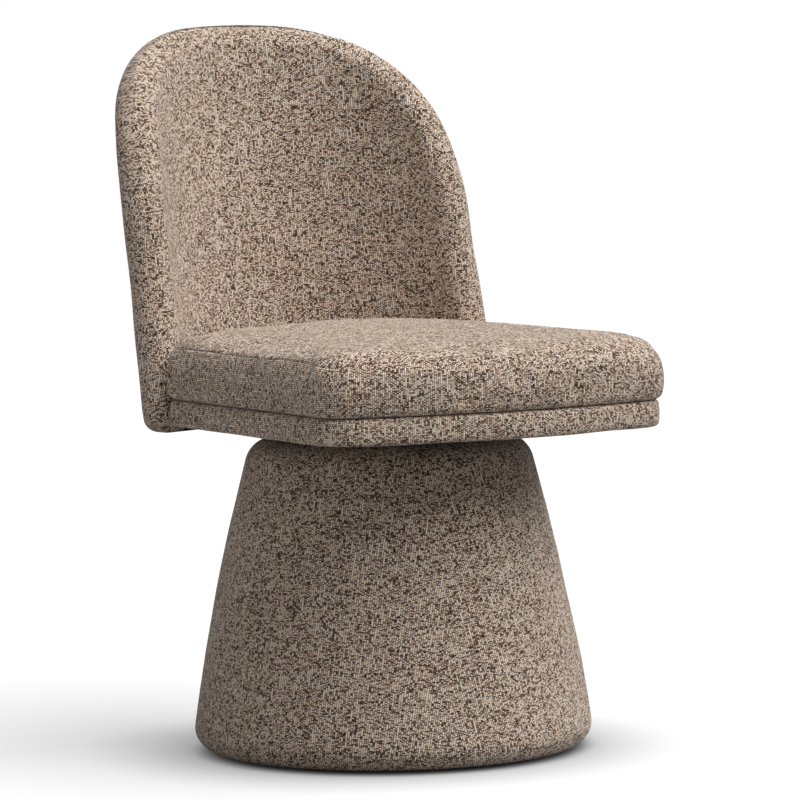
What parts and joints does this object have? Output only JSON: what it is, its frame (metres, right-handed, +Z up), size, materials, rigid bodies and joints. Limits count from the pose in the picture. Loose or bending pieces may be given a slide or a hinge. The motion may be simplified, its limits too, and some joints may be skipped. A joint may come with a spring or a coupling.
{
  "type": "swivel dining chair",
  "caption": "Fully upholstered swivel dining chair: arched wrapped back, boxed seat cushion on a padded rail, and a tapered round base.",
  "frame": {"origin": "on the floor under the swivel's axis, at the middle of the round base", "axes": "+Z up along the swivel's axis, the sitter faces -Y, and +X is on the right of someone who looks at the front"},
  "size_m": [0.4597, 0.6643, 0.8125],
  "materials": {
    "tweed": "beige and brown tweed weave",
    "foam": "cut polyurethane foam",
    "dust_cloth": "black non-woven cloth",
    "plywood": "raw birch plywood",
    "black_steel": "satin black paint",
    "bolt_steel": "zinc plated",
    "ball_steel": "polished",
    "nylon": "matte black"
  },
  "bodies": {
    "base": {"base_bottom_board": "plywood", "base_top_board": "plywood", "base_upright_1": "plywood", "base_upright_2": "plywood", "base_upright_3": "plywood", "base_upright_4": "plywood", "base_upright_5": "plywood", "base_upright_6": "plywood", "upright_screws": "bolt_steel", "base_wrap_board": "plywood", "base_foam": "foam", "base_cover": "tweed", "base_dust_cover": "dust_cloth", "glides": "nylon", "glide_screws": "bolt_steel", "swivel_lower_plate": "black_steel", "swivel_lower_bolts": "bolt_steel", "base_tee_nuts": "bolt_steel", "swivel_rivet": "bolt_steel"},
    "ball_ring": {"bearing_balls": "ball_steel", "ball_cage": "nylon"},
    "seat": {"swivel_upper_plate": "black_steel", "swivel_upper_bolts": "bolt_steel", "seat_tee_nuts": "bolt_steel", "seat_board": "plywood", "seat_rail_foam": "foam", "seat_rail_cover": "tweed", "seat_dust_cover": "dust_cloth", "cushion_foam": "foam", "cushion_cover": "tweed", "back_shell": "plywood", "back_front_foam": "foam", "back_rear_foam": "foam", "back_front_cover": "tweed", "back_rear_cover": "tweed", "back_bracket_left": "black_steel", "back_bracket_right": "black_steel", "bracket_seat_bolts": "bolt_steel", "bracket_seat_nuts": "bolt_steel", "bracket_back_bolts": "bolt_steel", "bracket_back_nuts": "bolt_steel", "back_edge_bolts": "bolt_steel", "back_edge_nuts": "bolt_steel"}
  },
  "joints": [
    {"name": "seat_swivel", "type": "hinge", "parent": "base", "child": "seat", "pos_m": [0, 0, 0.3585], "axis": [0, 0, 1], "continuous": true},
    {"name": "ball_orbit", "type": "hinge", "parent": "base", "child": "ball_ring", "pos_m": [0, 0, 0.3585], "axis": [0, 0, 1], "continuous": true}
  ],
  "couplings": [
    {"joint": "ball_orbit", "follows": "seat_swivel", "ratio": 0.5}
  ]
}
